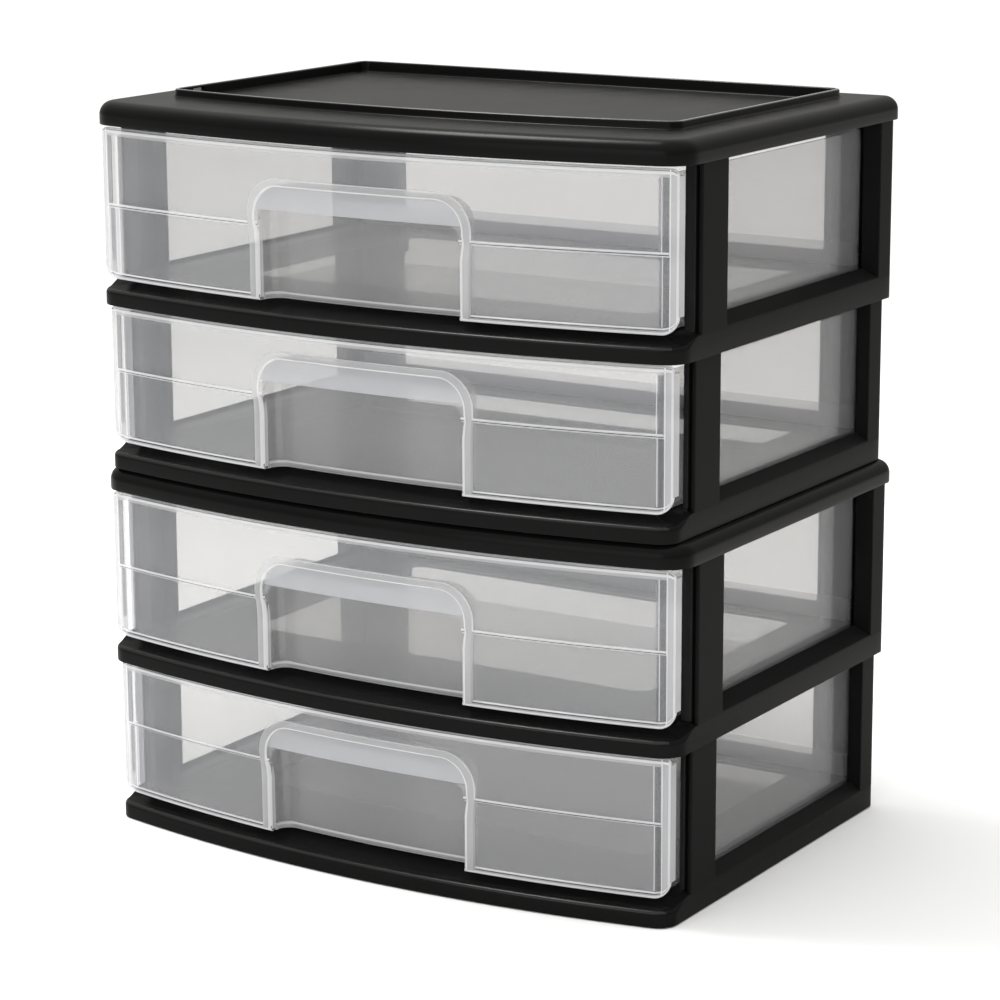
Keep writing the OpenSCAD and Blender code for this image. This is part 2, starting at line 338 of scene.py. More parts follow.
def black_plastic(name, base, rough, head_on=0.004, slant=0.155, grain=0.08):
    """Black moulded plastic: a dark body under a sheen that grows at a slant."""
    m, nt, out = node_material(name)
    tc = nt.nodes.new("ShaderNodeTexCoord")
    body = nt.nodes.new("ShaderNodeBsdfDiffuse")
    body.inputs["Roughness"].default_value = 0.5
    cloud = noise(nt, tc.outputs["Object"], 14.0, 3.0)
    ramp = nt.nodes.new("ShaderNodeMix")
    ramp.data_type = "RGBA"
    ramp.inputs[6].default_value = (base * 0.86, base * 0.86, base * 0.87, 1)
    ramp.inputs[7].default_value = (base * 1.2, base * 1.2, base * 1.18, 1)
    nt.links.new(cloud, ramp.inputs[0])
    nt.links.new(ramp.outputs[2], body.inputs["Color"])
    gloss = nt.nodes.new("ShaderNodeBsdfGlossy")
    gloss.inputs["Color"].default_value = (1.0, 0.995, 0.975, 1)
    nt.links.new(map_range(nt, noise(nt, tc.outputs["Object"], 60.0, 2.0), rough - 0.03, rough + 0.03), gloss.inputs["Roughness"])
    bump = nt.nodes.new("ShaderNodeBump")
    bump.inputs["Strength"].default_value = grain
    bump.inputs["Distance"].default_value = 0.0001
    nt.links.new(noise(nt, tc.outputs["Object"], 1500.0, 2.0, 0.6), bump.inputs["Height"])
    nt.links.new(bump.outputs["Normal"], gloss.inputs["Normal"])
    nt.links.new(bump.outputs["Normal"], body.inputs["Normal"])
    top = nt.nodes.new("ShaderNodeMixShader")
    nt.links.new(sheen(nt, head_on, slant, 4.0), top.inputs[0])
    nt.links.new(body.outputs[0], top.inputs[1])
    nt.links.new(gloss.outputs[0], top.inputs[2])
    nt.links.new(top.outputs[0], out.inputs["Surface"])
    return m


def clear_plastic(name, haze, tint, milk, gloss_rough):
    """Thin clear polypropylene: each surface passes most light, tinted a little, and the rest scatters as milk; gloss on top."""
    m, nt, out = node_material(name)
    tc = nt.nodes.new("ShaderNodeTexCoord")
    see = nt.nodes.new("ShaderNodeBsdfTransparent")
    see.inputs["Color"].default_value = (*tint, 1)
    body = nt.nodes.new("ShaderNodeBsdfDiffuse")
    cloud = noise(nt, tc.outputs["Object"], 22.0, 3.0)
    col = nt.nodes.new("ShaderNodeMix")
    col.data_type = "RGBA"
    col.inputs[6].default_value = (milk[0] * 0.97, milk[1] * 0.97, milk[2] * 0.98, 1)
    col.inputs[7].default_value = (*milk, 1)
    nt.links.new(cloud, col.inputs[0])
    nt.links.new(col.outputs[2], body.inputs["Color"])
    trans = nt.nodes.new("ShaderNodeBsdfTranslucent")
    nt.links.new(col.outputs[2], trans.inputs["Color"])
    both = nt.nodes.new("ShaderNodeMixShader")
    both.inputs[0].default_value = 0.45
    nt.links.new(body.outputs[0], both.inputs[1])
    nt.links.new(trans.outputs[0], both.inputs[2])
    mix = nt.nodes.new("ShaderNodeMixShader")
    nt.links.new(map_range(nt, noise(nt, tc.outputs["Object"], 9.0, 2.0), haze * 0.92, haze * 1.08), mix.inputs[0])
    nt.links.new(see.outputs[0], mix.inputs[1])
    nt.links.new(both.outputs[0], mix.inputs[2])
    gloss = nt.nodes.new("ShaderNodeBsdfGlossy")
    gloss.inputs["Color"].default_value = (1, 1, 1, 1)
    nt.links.new(map_range(nt, noise(nt, tc.outputs["Object"], 40.0, 2.0), gloss_rough * 0.8, gloss_rough * 1.2), gloss.inputs["Roughness"])
    bump = nt.nodes.new("ShaderNodeBump")
    bump.inputs["Strength"].default_value = 0.08
    bump.inputs["Distance"].default_value = 0.0004
    nt.links.new(noise(nt, tc.outputs["Object"], 45.0, 1.0), bump.inputs["Height"])
    nt.links.new(bump.outputs["Normal"], gloss.inputs["Normal"])
    top = nt.nodes.new("ShaderNodeMixShader")
    nt.links.new(sheen(nt, 0.022, 0.6, 5.0), top.inputs[0])
    nt.links.new(mix.outputs[0], top.inputs[1])
    nt.links.new(gloss.outputs[0], top.inputs[2])
    nt.links.new(top.outputs[0], out.inputs["Surface"])
    return m


LID_MAT = black_plastic("lid_black", 0.0042, 0.25, 0.0055, 0.255)
SHELF_MAT = black_plastic("shelf_black", 0.0062, 0.26, 0.0038, 0.14)
FRAME_MAT = black_plastic("frame_black", 0.008, 0.34, 0.003, 0.10)
# Frame black made lighter and glossier for the stile's front face: painted light that lifts the shade beside the
# drawer.
STILE_PAINTED_LIGHT_MAT = black_plastic("stile_black_painted_light", 0.014, 0.34, 0.009, 0.10)
CLEAR_MAT = clear_plastic("drawer_clear", 0.155, (0.936, 0.932, 0.927), (0.84, 0.855, 0.89), 0.10)
BAND_MAT = clear_plastic("drawer_band", 0.44, (0.86, 0.86, 0.855), (0.86, 0.865, 0.88), 0.10)
# Near-white, milky plastic for the thin bright lines along edges, beads, the crease and the arch: painted highlights.
LINE_HIGHLIGHT_MAT = clear_plastic("drawer_line_painted_highlight", 0.74, (0.96, 0.96, 0.96), (0.98, 0.98, 0.985), 0.10)
TUB_MAT = clear_plastic("drawer_tub", 0.175, (0.885, 0.880, 0.873), (0.92, 0.93, 0.955), 0.14)
LIP_MAT = clear_plastic("drawer_lip", 0.40, (0.85, 0.85, 0.855), (0.86, 0.87, 0.90), 0.10)
SHADE_MAT = clear_plastic("drawer_shade", 0.17, (0.55, 0.55, 0.565), (0.42, 0.43, 0.47), 0.10)
# Darker-tinted plastic for the strip just inside each side border: painted shade for the dark post behind it.
STRIP_SHADE_MAT = clear_plastic("drawer_strip_painted_shade", 0.17, (0.73, 0.73, 0.735), (0.72, 0.73, 0.76), 0.10)
# Tub side walls: less milky, with a darker tint that is painted shade for the weaker light on the sides.
SIDE_SHADE_MAT = clear_plastic("drawer_side_painted_shade", 0.10, (0.80, 0.798, 0.792), (0.92, 0.93, 0.955), 0.12)
FLOOR_MAT = clear_plastic("drawer_floor", 0.21, (0.775, 0.772, 0.768), (0.93, 0.935, 0.955), 0.18)
FOOT_MAT = clear_plastic("drawer_foot", 0.40, (0.91, 0.905, 0.90), (0.78, 0.79, 0.81), 0.14)
LID_EDGE_MAT = black_plastic("lid_edge_sheen", 0.006, 0.24, 0.010, 1.2)
LIP_EDGE_MAT = black_plastic("shelf_edge_sheen", 0.006, 0.24, 0.022, 0.34)


# ---------------------------------------------------------------- lids
def lid_build():
    def o(e):
        return outline(HW0, R0, BACK_Y, 17, 10, e)

    def rim(e):
        return outline(RIM_HW, RIM_R, RIM_YR, 7, 7, e)

    loops = [at(rim(0.6), 8.3), at(rim(0.4), 8.6), at(rim(0.4), 10.0), at(rim(0.1), 10.3)]
    a, b = rim(0.1), o(LID_RE)
    loops += [at(a + (b - a) * t, 10.3) for t in (0.33, 0.66, 1.0)]
    ri = LID_RE - WALL
    for t in np.radians(np.linspace(80, 0, 7)):
        loops.append(at(o(LID_RE - ri * math.cos(t)), LID_H - LID_RE + ri * math.sin(t)))
    loops += [at(o(2.2), 0.3), at(o(1.9), 0.0), at(o(0.5), 0.0), at(o(0.12), 0.15), at(o(0), 0.5), at(o(0), 2.8)]
    for t in np.radians(np.linspace(0, 90, 13)):
        loops.append(at(o(LID_RE - LID_RE * math.cos(t)), LID_H - LID_RE + LID_RE * math.sin(t)))
    a, b = o(LID_RE), rim(-1.5)
    loops += [at(a + (b - a) * t, LID_H) for t in (0.06, 0.3, 0.6, 0.94, 1.0)]
    for t in np.radians(np.linspace(20, 90, 5)):
        loops.append(at(rim(-1.5 + 1.5 * math.sin(t)), LID_H + 1.5 - 1.5 * math.cos(t)))
    top, r = LID_H + RIM_H, 0.9
    loops.append(at(rim(0.02), top - r - 0.3))
    for t in np.radians(np.linspace(0, 90, 6)):
        loops.append(at(rim(0.05 + r - r * math.cos(t)), top - r + r * math.sin(t)))
    for t in np.radians(np.linspace(90, 0, 6)):
        loops.append(at(rim(RIM_T - 0.05 - r + r * math.cos(t)), top - r + r * math.sin(t)))
    floor = LID_H - TRAY
    loops.append(at(rim(RIM_T), floor + 1.6))
    for t in np.radians(np.linspace(0, 90, 6)):
        loops.append(at(rim(RIM_T + 0.05 + 1.1 - 1.1 * math.cos(t)), floor + 1.1 - 1.1 * math.sin(t)))
    loops += [at(rim(RIM_T + 1.6), floor), at(rim(RIM_T + 3.2), floor)]
    return Build().loft(loops, True, True)


lid_mesh = lid_build().mesh("lid")
lid_obj = temp(lid_mesh, "lid_tmp")
slot_loop = fillet([(-57, 13.4), (-46.5, 13.4), (-46.5, 15.5), (-57, 15.5)], 1.0, 5)
cut = Build()
cut.loft([np.column_stack([np.full(len(slot_loop), x), slot_loop[:, 0], slot_loop[:, 1]]) for x in (-RIM_HW - 1.2, -RIM_HW + RIM_T + 1.2)], True, True)
boolean(lid_obj, [temp(cut, "cut")], "DIFFERENCE")
lid_mesh = lid_obj.data
for f in lid_mesh.polygons:
    if f.center.z * 1000 > LID_H + RIM_H - 0.75 and f.normal.z > 0.25:
        f.material_index = 1
bpy.data.objects.remove(lid_obj)


# ---------------------------------------------------------------- shelves
def shelf_mesh(s, name):
    hw, R, yr = s["hw"], s["R"], s["yr"]
    rf = 17 - (HW0 - hw)

    def o(e):
        return outline(hw, R, yr, rf, 8, e)

    base = o(0)
    back = smooth((base[:, 1] + 105.0) / 13.5)          # 0 on the lip, 1 behind the step
    h = LIP_H + (RAIL_H - LIP_H) * back
    r = 2.6 + (0.06 - 2.6) * back
    slope_w = 23.0

    def ztop(e):
        return h + (RAIL_H - h) * smooth((e - 3.0) / slope_w) * 0.98

    hole = round_rect(-128, 128, -51, 118, 8)
    hole_out = round_rect(-129, 129, -52, 119, 9)

    def inset(e):
        # wide steps on the lip, narrow ones on the rails
        return o(e) * (1 - back)[:, None] + o(e * 0.3) * back[:, None]

    loops = [at(hole, 10.6), at(hole_out, RAIL_H - PLATE_T)]
    for e in (26, 18, 12, 8.8):
        loops.append(at(inset(e), ztop(e) - PLATE_T - 0.02))
    loops.append(at(o(2.6), h - PLATE_T - 1.2))
    loops.append(at(o(2.2), h - PLATE_T - 2.4))
    loops += [at(o(2.2), 0.3), at(o(1.9), 0.0), at(o(0.45), 0.0), at(o(0.1), 0.14), at(o(0), 0.45), at(o(0), h - 2.7)]
    for t in np.radians(np.linspace(0, 90, 9)):
        # each point has its own radius, so the offset is blended between two outlines
        e = r * (1 - math.cos(t))
        big = o(2.6 * (1 - math.cos(t)))
        small = o(0.06 * (1 - math.cos(t)))
        w = ((r - 0.06) / 2.54)[:, None]
        loops.append(at(small + (big - small) * w, h - r + r * math.sin(t)))
    loops.append(at(o(2.6) * (1 - back)[:, None] + o(0.5) * back[:, None], h + 0.001))
    for e in (4.6, 7, 12, 18, 26):
        loops.append(at(inset(e), ztop(e)))
    loops += [at(hole_out, RAIL_H), at(hole, RAIL_H - 0.35)]
    b = Build().loft(loops, wrap=True)
    obj = temp(b.mesh(name), name)
    for f in obj.data.polygons:
        c, n = f.center * 1000, f.normal
        rho = math.hypot(c.x, c.y - CYC)
        if c.y < -101 and n.z > 0.3 and n.y < -0.2 and rho > R - 2.7:
            f.material_index = 1
    ribs = []
    for sx in (-1, 1):
        ribs.append(temp(box(sx * 160 - 1.5, sx * 160 + 1.5, -84, 112, RAIL_H - 0.8, 13.7, 0.7)))
    union_each(obj, ribs)
    g, gz = 139.0, RAIL_H - PLATE_T
    arch = [(-g, -2), (g, -2)]
    arch += [(g - 4 + 4 * math.cos(t), gz - 4 + 4 * math.sin(t)) for t in np.linspace(0, math.pi / 2, 9)]
    arch += [(-g + 4 + 4 * math.cos(t), gz - 4 + 4 * math.sin(t)) for t in np.linspace(math.pi / 2, math.pi, 9)]
    boolean(obj, [temp(xz_prism(arch, yr - WALL - 1, yr + 5))], "DIFFERENCE")
    me = obj.data
    bpy.data.objects.remove(obj)
    return me


# ---------------------------------------------------------------- side and back frames
def side_mesh(s, name, side):
    x1, yr, top = s["hw"], s["yr"], s["top"]
    y0, y1 = POST_Y, POST_Y + POST_D
    z0 = RAIL_H
    # side face, window flange and the wall behind the groove
    post = fillet(
        [(x1 - 2, y0), (x1, y0), (x1, y1), (IN_X, y1), (IN_X, y1 - 2), (x1 - 2, y1 - 2), (x1 - 2, y0 + 6), (x1 - 6.5, y0 + 6), (x1 - 6.5, y0 + 4), (x1 - 2, y0 + 4)],
        [0.5, 0.7, 0.6, 0.5, 0, 0.8, 0.3, 0, 0, 0.2],
    )
    stile = fillet(
        [(IN_X, y0 + 1), (x1 - 4.5, y0 + 1), (x1 - 4.5, y0 + 5), (x1 - 6.5, y0 + 5), (x1 - 6.5, y0 + 3), (IN_X, y0 + 3)],
        [0.6, 0.6, 0, 0, 0.3, 0.5],
    )
    sill = [(x1, z0), (x1, z0 + 0.5), (x1 - 0.4, z0 + 0.9), (IN_X + 0.6, z0 + 5.1), (IN_X, z0 + 4.9), (IN_X, z0), (IN_X + 2, z0), (IN_X + 2, z0 + 2), (x1 - 3.5, z0)]
    rear = [(IN_X, yr - REAR_D), (x1, yr - REAR_D), (x1, yr - 8)]
    rear += [(x1 - 8 + 8 * math.cos(t), yr - 8 + 8 * math.sin(t)) for t in np.linspace(0, math.pi / 2, 11)[1:]]
    rear += [(x1 - 8, yr - 2)]
    rear += [(x1 - 8 + 6 * math.cos(t), yr - 8 + 6 * math.sin(t)) for t in np.linspace(math.pi / 2, 0, 9)[1:]]
    rear += [(x1 - 2, yr - REAR_D + 2), (IN_X, yr - REAR_D + 2)]
    rr = [0.5, 0.6] + [0] * 20 + [0.8, 0.5]
    rear = fillet(rear, rr[: len(rear) - 2] + [0.8, 0.5])
    parts = [prism(post, z0, top), prism(stile, z0 + 0.9, top - 0.4), xz_prism(sill, y1 - 2, yr - REAR_D + 1.5), prism(rear, z0, top)]
    if side < 0:
        parts = [mirror_x(p) for p in parts]
    obj = temp(parts[0])
    union_each(obj, [temp(p) for p in parts[1:]])
    flat_faces(obj)
    me = obj.data
    for f in me.polygons:
        c = f.center * 1000
        # The stile's front-facing faces take the lighter black: painted light against the shade beside the drawer.
        if f.normal.y < -0.7 and c.y < y0 + 2 and abs(c.x) < x1 - 4.4:
            f.material_index = 1
    me.name = name
    bpy.data.objects.remove(obj)
    return me


def back_mesh(s, name):
    yr, top, z0 = s["yr"], s["top"], RAIL_H
    x1 = s["hw"] - 8.1
    parts = []
    for sx in (1, -1):
        u = fillet(
            [(140, yr), (140, yr - 7), (142, yr - 7), (142, yr - 2), (x1 - 2, yr - 2), (x1 - 2, yr - 7), (x1, yr - 7), (x1, yr)],
            [0.9, 0.4, 0.4, 0.8, 0.8, 0.4, 0.4, 0.3],
        )
        p = prism(u, z0, top)
        parts.append(mirror_x(p) if sx < 0 else p)
    foot = [(yr, z0), (yr, z0 + 9.4), (yr - 0.6, z0 + 10), (yr - 6.6, z0 + 10), (yr - 7, z0 + 9.6), (yr - 7, z0 + 8.2), (yr - 6.8, z0 + 8), (yr - 2.6, z0 + 8), (yr - 2, z0 + 7.4), (yr - 2, z0)]
    b = Build()
    b.loft([np.array([(x, y, z) for y, z in foot]) for x in (-x1 + 1.0, x1 - 1.0)], True, True)
    parts.append(b)
    obj = temp(parts[0])
    union_each(obj, [temp(p) for p in parts[1:]])
    flat_faces(obj)
    me = obj.data
    me.name = name
    bpy.data.objects.remove(obj)
    return me


# ---------------------------------------------------------------- drawers
FACE_Z, FLOOR_T, TUB_T, TUB_HW, TUB_BACK = 14.0, 2.0, 1.8, 168.0, 119.0
CREASE, LIP_LOW, GRIP_Z, POCKET_HW, POCKET_D = 54.0, 62.0, 73.2, 62.0, 13.0
ARCH_OUT, ARCH_IN = (69.0, 78.5, 19.5), (63.5, 74.2, 15.5)


def polar(x_ref, r_ref, rho):
    a = math.asin(x_ref / r_ref)
    return rho * math.sin(a), CYC - rho * math.cos(a)


def panel_build(fhw, fR, top):
    outer = [
        (14.0, 2.2), (14.05, 1.3), (14.3, 0.75), (14.8, 0.55), (15.5, 0.5), (16.2, 0.6), (16.8, 0.7), (17.2, 0.95), (17.5, 1.4), (18.0, 1.45),
        (24, 1.4), (34, 1.4), (44, 1.4), (51.9, 1.4), (52.7, 1.35), (53.1, 0.95), (53.4, 0.45), (53.75, 0.3), (54.1, 0.0), (54.35, -0.38), (54.8, -0.5), (55.3, -0.2), (56.0, 0.0),
        (62, 0.0), (70, 0.0), (top - 8, 0.0), (top - 4.4, 0.0), (top - 4.0, -0.1), (top - 3.4, -0.3), (top - 2.7, -0.6), (top - 2.1, -0.7), (top - 1.3, -0.7),
        (top - 0.7, -0.6), (top - 0.3, -0.35), (top - 0.05, 0.2), (top, 0.7),
    ]
    inner = [
        (top, 1.6), (top - 0.3, 2.1), (top - 4, 2.2), (top - 8, 2.2), (70, 2.2), (62, 2.2), (56.5, 2.2), (54.5, 2.7), (52.5, 3.4), (50.5, 3.6),
        (44, 3.6), (34, 3.6), (24, 3.6), (17, 3.6), (14.4, 3.6), (14.05, 3.2),
    ]
    prof = outer + inner
    xs = np.concatenate([
        np.linspace(0, fhw - 12, 40),
        fhw - np.array([10.5, 9.1, 8.6, 8.1, 7.2, 6.2, 5.2, 4.7, 4.4, 4.1, 3.7, 3.2, 2.2, 1.4, 0.8, 0.4, 0.15, 0.02]),
    ])
    xs = np.concatenate([-xs[::-1], xs[1:]])
    rb, rt = 9.0, 4.0 if top > 92 else 2.0
    loops = []
    for x in xs:
        d_edge = fhw - abs(x)
        zb, zt = FACE_Z, top
        if d_edge < rb:
            zb += rb - math.sqrt(max(rb * rb - (rb - d_edge) ** 2, 0))
        if d_edge < rt:
            zt -= rt - math.sqrt(max(rt * rt - (rt - d_edge) ** 2, 0))
        raise_ = float(smooth((5.0 - d_edge) / 0.9)) if d_edge < 5.0 else 0.0
        round_ = 0.0 if d_edge > 1.4 else 1.0 * (1 - math.sqrt(max(1 - ((1.4 - d_edge) / 1.4) ** 2, 0)))
        loop = []
        for k, (z, d) in enumerate(prof):
            if z < FACE_Z + 12:
                z2 = zb + (z - FACE_Z) * (FACE_Z + 12 - zb) / 12
            elif z > top - 6:
                z2 = zt - (top - z) * (zt - (top - 6)) / 6
            else:
                z2 = z
            if k < len(outer):
                lift = min(d, -0.45) if 14.4 < z < top - 0.6 else d
                d2 = d + (lift - d) * raise_ + round_ * 1.2
            else:
                d2 = d
            px, py = polar(x, fR, fR - d2)
            loop.append((px, py, z2))
        loops.append(np.array(loop))
    n_out, n = len(outer), len(prof)
    zs = [0.5 * (prof[k][0] + prof[(k + 1) % n][0]) for k in range(n)]

    # Material 2 goes to the thin bright lines along edges, beads and the crease: painted highlights.
    def tag(k, i):
        if k < 0:
            return 2
        d_edge = fhw - abs(0.5 * (xs[k] + xs[k + 1]))
        z = zs[i]
        front = i < n_out - 1
        line = (14.0 <= z < 15.6) or (16.8 < z < 17.5) or z > top - 0.35 or (front and top - 2.7 < z < top - 1.3)
        if d_edge < 0.9 or (front and 3.7 < d_edge < 4.4) or (line and (front or d_edge < 4.4)):
            return 2
        if front and d_edge > 4.6 and (54.1 < z < 55.3 or 52.7 < z < 53.4):
            return 2
        if front and d_edge > 4.6 and (53.4 < z < 54.1 or 16.2 < z <= 16.8):
            return 5
        if front and top - 1.3 < z < top - 0.7:
            return 5
        if front and 8.1 < d_edge < 8.6 and 18.0 < z < top - 4.4:
            return 2
        if d_edge < 4.6 or z < 17.5 or z > top - 4.4:
            return 1
        # Material 9, the strip just inside each side border, is darker: painted shade.
        return 9 if d_edge < 8.1 else 0

    return Build().loft(loops, True, True, mat=tag)


def arch_path(w, top_z, r, foot_z, n=10, foot_w=None):
    """Upright arch from the right foot to the left one. Below the crease its side can lean in to foot_w."""
    foot_w = w if foot_w is None else foot_w
    zs = [foot_z, foot_z + 4, foot_z + 12, 34.0, 44.0, 50.0, 52.5, CREASE + 0.5, 56.5]
    side = [(foot_w + (w - foot_w) * float(smooth((z - 46.0) / 10.0)), z) for z in zs]
    arc = [(w - r + r * math.cos(t), top_z - r + r * math.sin(t)) for t in np.linspace(0, math.pi / 2, n)]
    p = side + arc
    p += [(x, top_z) for x in np.linspace(w - r, -(w - r), 30)[1:-1]]
    p += [(-x, z) for x, z in arc[::-1]] + [(-x, z) for x, z in side[::-1]]
    return np.array(p)


def band_build(fR):
    """Raised frame round the grip: an arch over it, and a rounded side down to the foot on each hand."""
    foot = FACE_Z + 1.6
    out_ = arch_path(*ARCH_OUT, foot, 12, 68.0)
    in_ = arch_path(*ARCH_IN, foot, 12, 61.4)
    arch = [(0.0, 1.2), (0.0, 0.0), (0.03, -0.5), (0.10, -0.85), (0.22, -0.95), (0.5, -0.62), (0.78, -0.95), (0.90, -0.85), (0.97, -0.5), (1.0, 0.0), (1.0, 1.2)]
    side = [(0.0, 2.6), (0.0, 1.2), (0.02, 0.3), (0.08, -0.25), (0.20, -0.45), (0.42, -0.3), (0.62, -0.1), (0.80, 0.5), (0.93, 1.3), (1.0, 2.2), (1.0, 3.2)]
    loops = []
    for (xa, za), (xb, zb) in zip(out_, in_):
        s = float(smooth((0.5 * (za + zb) - 50.0) / 8.0))
        loop = []
        for (t0, d0), (t1, d1) in zip(side, arch):
            t, d = t0 + (t1 - t0) * s, d0 + (d1 - d0) * s
            x, z = xa + (xb - xa) * t, za + (zb - za) * t
            px, py = polar(x, fR, fR - d)
            loop.append((px, py, z))
        loops.append(np.array(loop))
    # Rows given material 2 are thin bright lines on the band: painted highlights.
    return Build().loft(loops, True, True, mat=lambda k, i: 2 if i in (6, 7) or (i in (1, 2) and 7 <= k < len(out_) - 9) or k < 0 else 1)


def pocket_region(fR, w, depth, front_rho, r, flare=0.0):
    """Plan polygon of the finger pocket; flare widens its mouth."""
    rb = fR - depth
    inner = [polar(x, rb, rb) for x in np.linspace(w - flare, -(w - flare), 41)]
    front = [polar(x, front_rho, front_rho) for x in np.linspace(-w, w, 25)]
    mouth = [polar(w, fR - 1.0, fR - 1.0)] if flare else []
    mouth_l = [(-x, y) for x, y in mouth]
    back = inner[3:-3]
    a, b = inner[0], inner[-1]
    pts = front + mouth + [a] + back + [b] + mouth_l
    radii = [0.0] * len(front) + [3.0] * len(mouth) + [r] + [0.0] * len(back) + [r] + [3.0] * len(mouth_l)
    return fillet(pts, radii, 8)


def foot_bead(fR):
    """Rounded bead along the foot of the pocket, between its two sides."""
    w = POCKET_HW - 0.4
    prof = [(14.0, 1.2), (14.02, 0.3), (14.3, -0.4), (14.8, -0.75), (15.6, -0.85), (16.5, -0.75), (17.1, -0.4), (17.5, 0.2), (17.7, 1.2)]
    path = []
    rb = fR - POCKET_D
    r = 8.0
    for t in np.linspace(0, 1, 9)[:-1]:
        path.append((w, 4.0 + (POCKET_D - r - 4.0) * t, 0.0))
    for t in np.radians(np.linspace(0, 90, 12)):
        path.append((w - r + r * math.cos(t), POCKET_D - r + r * math.sin(t), t))
    path += [(x, POCKET_D, math.pi / 2) for x in np.linspace(w - r, 0, 24)[1:]]
    loops = []
    full = path + [(-x, d, math.pi - t) for x, d, t in path[::-1][1:]]
    for x, depth, t in full:
        loop = []
        for z, off in prof:
            # off is measured into the wall: sideways on the flanks, to the back in the middle
            xx = x + off * math.cos(t)
            dd = depth + off * math.sin(t)
            px, py = polar(xx, fR, fR - dd)
            loop.append((px, py, z))
        loops.append(np.array(loop))
    # Rows given material 2 are thin bright lines along the bead: painted highlights.
    return Build().loft(loops, True, True, mat=lambda k, i: 2 if i in (1, 2, 5, 6) else 1)


def tub_loops(e_wall, z_floor, fillet_r, top, front_R, back=TUB_BACK):
    def o(e):
        return outline(TUB_HW, front_R, back, 2.0, 12, e)

    loops = []
    for t in np.radians(np.linspace(0, 90, 6)):
        loops.append(at(o(e_wall + fillet_r * (1 - math.sin(t))), z_floor + fillet_r * (1 - math.cos(t))))
    loops.append(at(o(e_wall), 29.4))
    loops.append(at(o(e_wall), top))
    return loops


def arch_prism(w, top_z, r, n=9):
    p = [(-w, 0), (w, 0)]
    p += [(w - r + r * math.cos(t), top_z - r + r * math.sin(t)) for t in np.linspace(0, math.pi / 2, n)]
    p += [(-(w - r) + r * math.cos(t), top_z - r + r * math.sin(t)) for t in np.linspace(math.pi / 2, math.pi, n)]
    return xz_prism(p, -150, -80, 3)


def drawer_mesh(fhw, dR, top, name):
    fR = R0 - 4.0 - dR
    low_R = fR - 1.4
    tub_top = top - 4.0
    panel = temp(panel_build(fhw, fR, top), name)
    # opening under the lip
    boolean(panel, [temp(arch_prism(POCKET_HW, LIP_LOW, 7.0))], "DIFFERENCE")
    tub = temp(Build().loft(tub_loops(0, FACE_Z, 3.5, tub_top, low_R - 1.0), True, True, mat=3))
    inner = temp(Build().loft(tub_loops(TUB_T, FACE_Z + FLOOR_T, 2.6, top + 8, R0 + 30), True, True, mat=3))
    hole = temp(prism(pocket_region(fR, POCKET_HW + 0.9, POCKET_D + 0.9, R0 + 10, 8), 0, 60, 3))
    boolean(tub, [inner, hole], "DIFFERENCE")
    shell = temp(prism(pocket_region(fR, POCKET_HW + TUB_T, POCKET_D + TUB_T, low_R - 1.0, 9.5), FACE_Z, GRIP_Z + TUB_T, 3))
    boolean(shell, [temp(arch_prism(POCKET_HW + TUB_T, GRIP_Z + TUB_T, 15 + TUB_T, 13))], "INTERSECT")
    hollow = temp(prism(pocket_region(fR, POCKET_HW, POCKET_D, R0 + 10, 8.0), 0, GRIP_Z + 5, 3))
    boolean(hollow, [temp(arch_prism(POCKET_HW, GRIP_Z, 15, 13))], "INTERSECT")
    boolean(shell, [hollow], "DIFFERENCE")
    band = temp(band_build(fR))
    bead = temp(foot_bead(fR))
    flanges = []
    for sx in (-1, 1):
        yf = polar(fhw, fR, fR)[1]
        xs = sorted([sx * (fhw - 1.9), sx * (fhw - 0.12)])
        flanges.append(temp(prism(fillet([(xs[0], yf + 1.2), (xs[1], yf + 1.2), (xs[1], yf + 7), (xs[0], yf + 7)], [0, 0, 0.6, 0.6]), FACE_Z + 9.3, top - 3.7, 1)))
    union_each(panel, [tub, shell, band, bead] + flanges, 28.0)
    me = panel.data
    y_front = polar(168.0, fR, fR)[1]
    for f in me.polygons:
        c = f.center * 1000
        rho = math.hypot(c.x, c.y - CYC)
        if f.material_index == 3 and c.y > TUB_BACK - 4 and 17.0 < c.z < 29.5:
            f.material_index = 6
        elif f.material_index == 3 and abs(f.normal.z) > 0.9 and c.z < 17.0:
            f.material_index = 7
        elif f.material_index == 3 and abs(c.x) > 165.5 and abs(f.normal.x) > 0.8 and c.y < y_front + 9.5:
            f.material_index = 5
        # Tub side walls take material 8, darker-tinted: painted shade.
        elif f.material_index == 3 and abs(c.x) > 155 and abs(f.normal.x) > 0.8:
            f.material_index = 8
        elif f.material_index == 0 and abs(c.x) < 64 and LIP_LOW - 0.3 < c.z < 74.6 and rho > fR - 3:
            f.material_index = 4
    me.name = name
    bpy.data.objects.remove(panel)
    return me


# ---------------------------------------------------------------- the pieces
def place(name, me, dz, body, node, slot, mat, *more):
    o = new_object(name, me)
    o.location.z = dz * 0.001
    index = [p.material_index if more else 0 for p in me.polygons]
    me.materials.clear()
    for x in (mat, *more):
        me.materials.append(x)
    me.polygons.foreach_set("material_index", index)
    bpy.context.view_layer.update()
    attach(o, body)
    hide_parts(node)
    return o


low_shelf, high_shelf = shelf_mesh(LOW, "shelf_low"), shelf_mesh(HIGH, "shelf_high")
sides = {(k, s): side_mesh(LOW if k == "low" else HIGH, f"side_{k}_{s}", s) for k in ("low", "high") for s in (-1, 1)}
backs = {"low": back_mesh(LOW, "back_low"), "high": back_mesh(HIGH, "back_high")}
drawers = {"low": drawer_mesh(175.0, 1.0, 89.2, "drawer_low"), "high": drawer_mesh(177.5, 0.0, 96.2, "drawer_high")}

